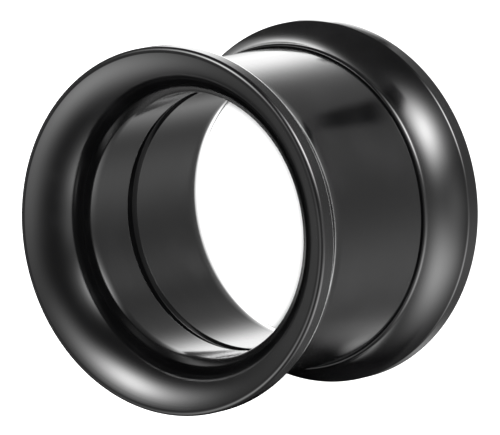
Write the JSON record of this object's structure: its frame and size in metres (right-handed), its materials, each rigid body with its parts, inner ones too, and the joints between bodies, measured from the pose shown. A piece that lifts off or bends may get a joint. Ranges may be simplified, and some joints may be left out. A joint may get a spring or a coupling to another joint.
{
  "type": "screw-fit ear gauge tunnel",
  "caption": "Hollow double-flared ear tunnel in glossy black coated steel; the back flare screws into the barrel with an inner sleeve and comes off to put the tunnel in.",
  "frame": {"origin": "centre of the ring that the back flare stands on", "axes": "+Z along the tunnel's axis, from the back flare up to the front flare; X and Y are any two directions across it"},
  "size_m": [0.0159, 0.0158, 0.012],
  "materials": {
    "black_coated_steel": "polished steel under a hard gloss black coating"
  },
  "bodies": {
    "back": {"back_flare": "black_coated_steel"},
    "front": {"front_tunnel": "black_coated_steel"}
  },
  "joints": [
    {"name": "unscrew", "type": "slide", "parent": "back", "child": "front", "axis": [0, 0, 1], "range_m": [0, 0.012]}
  ]
}
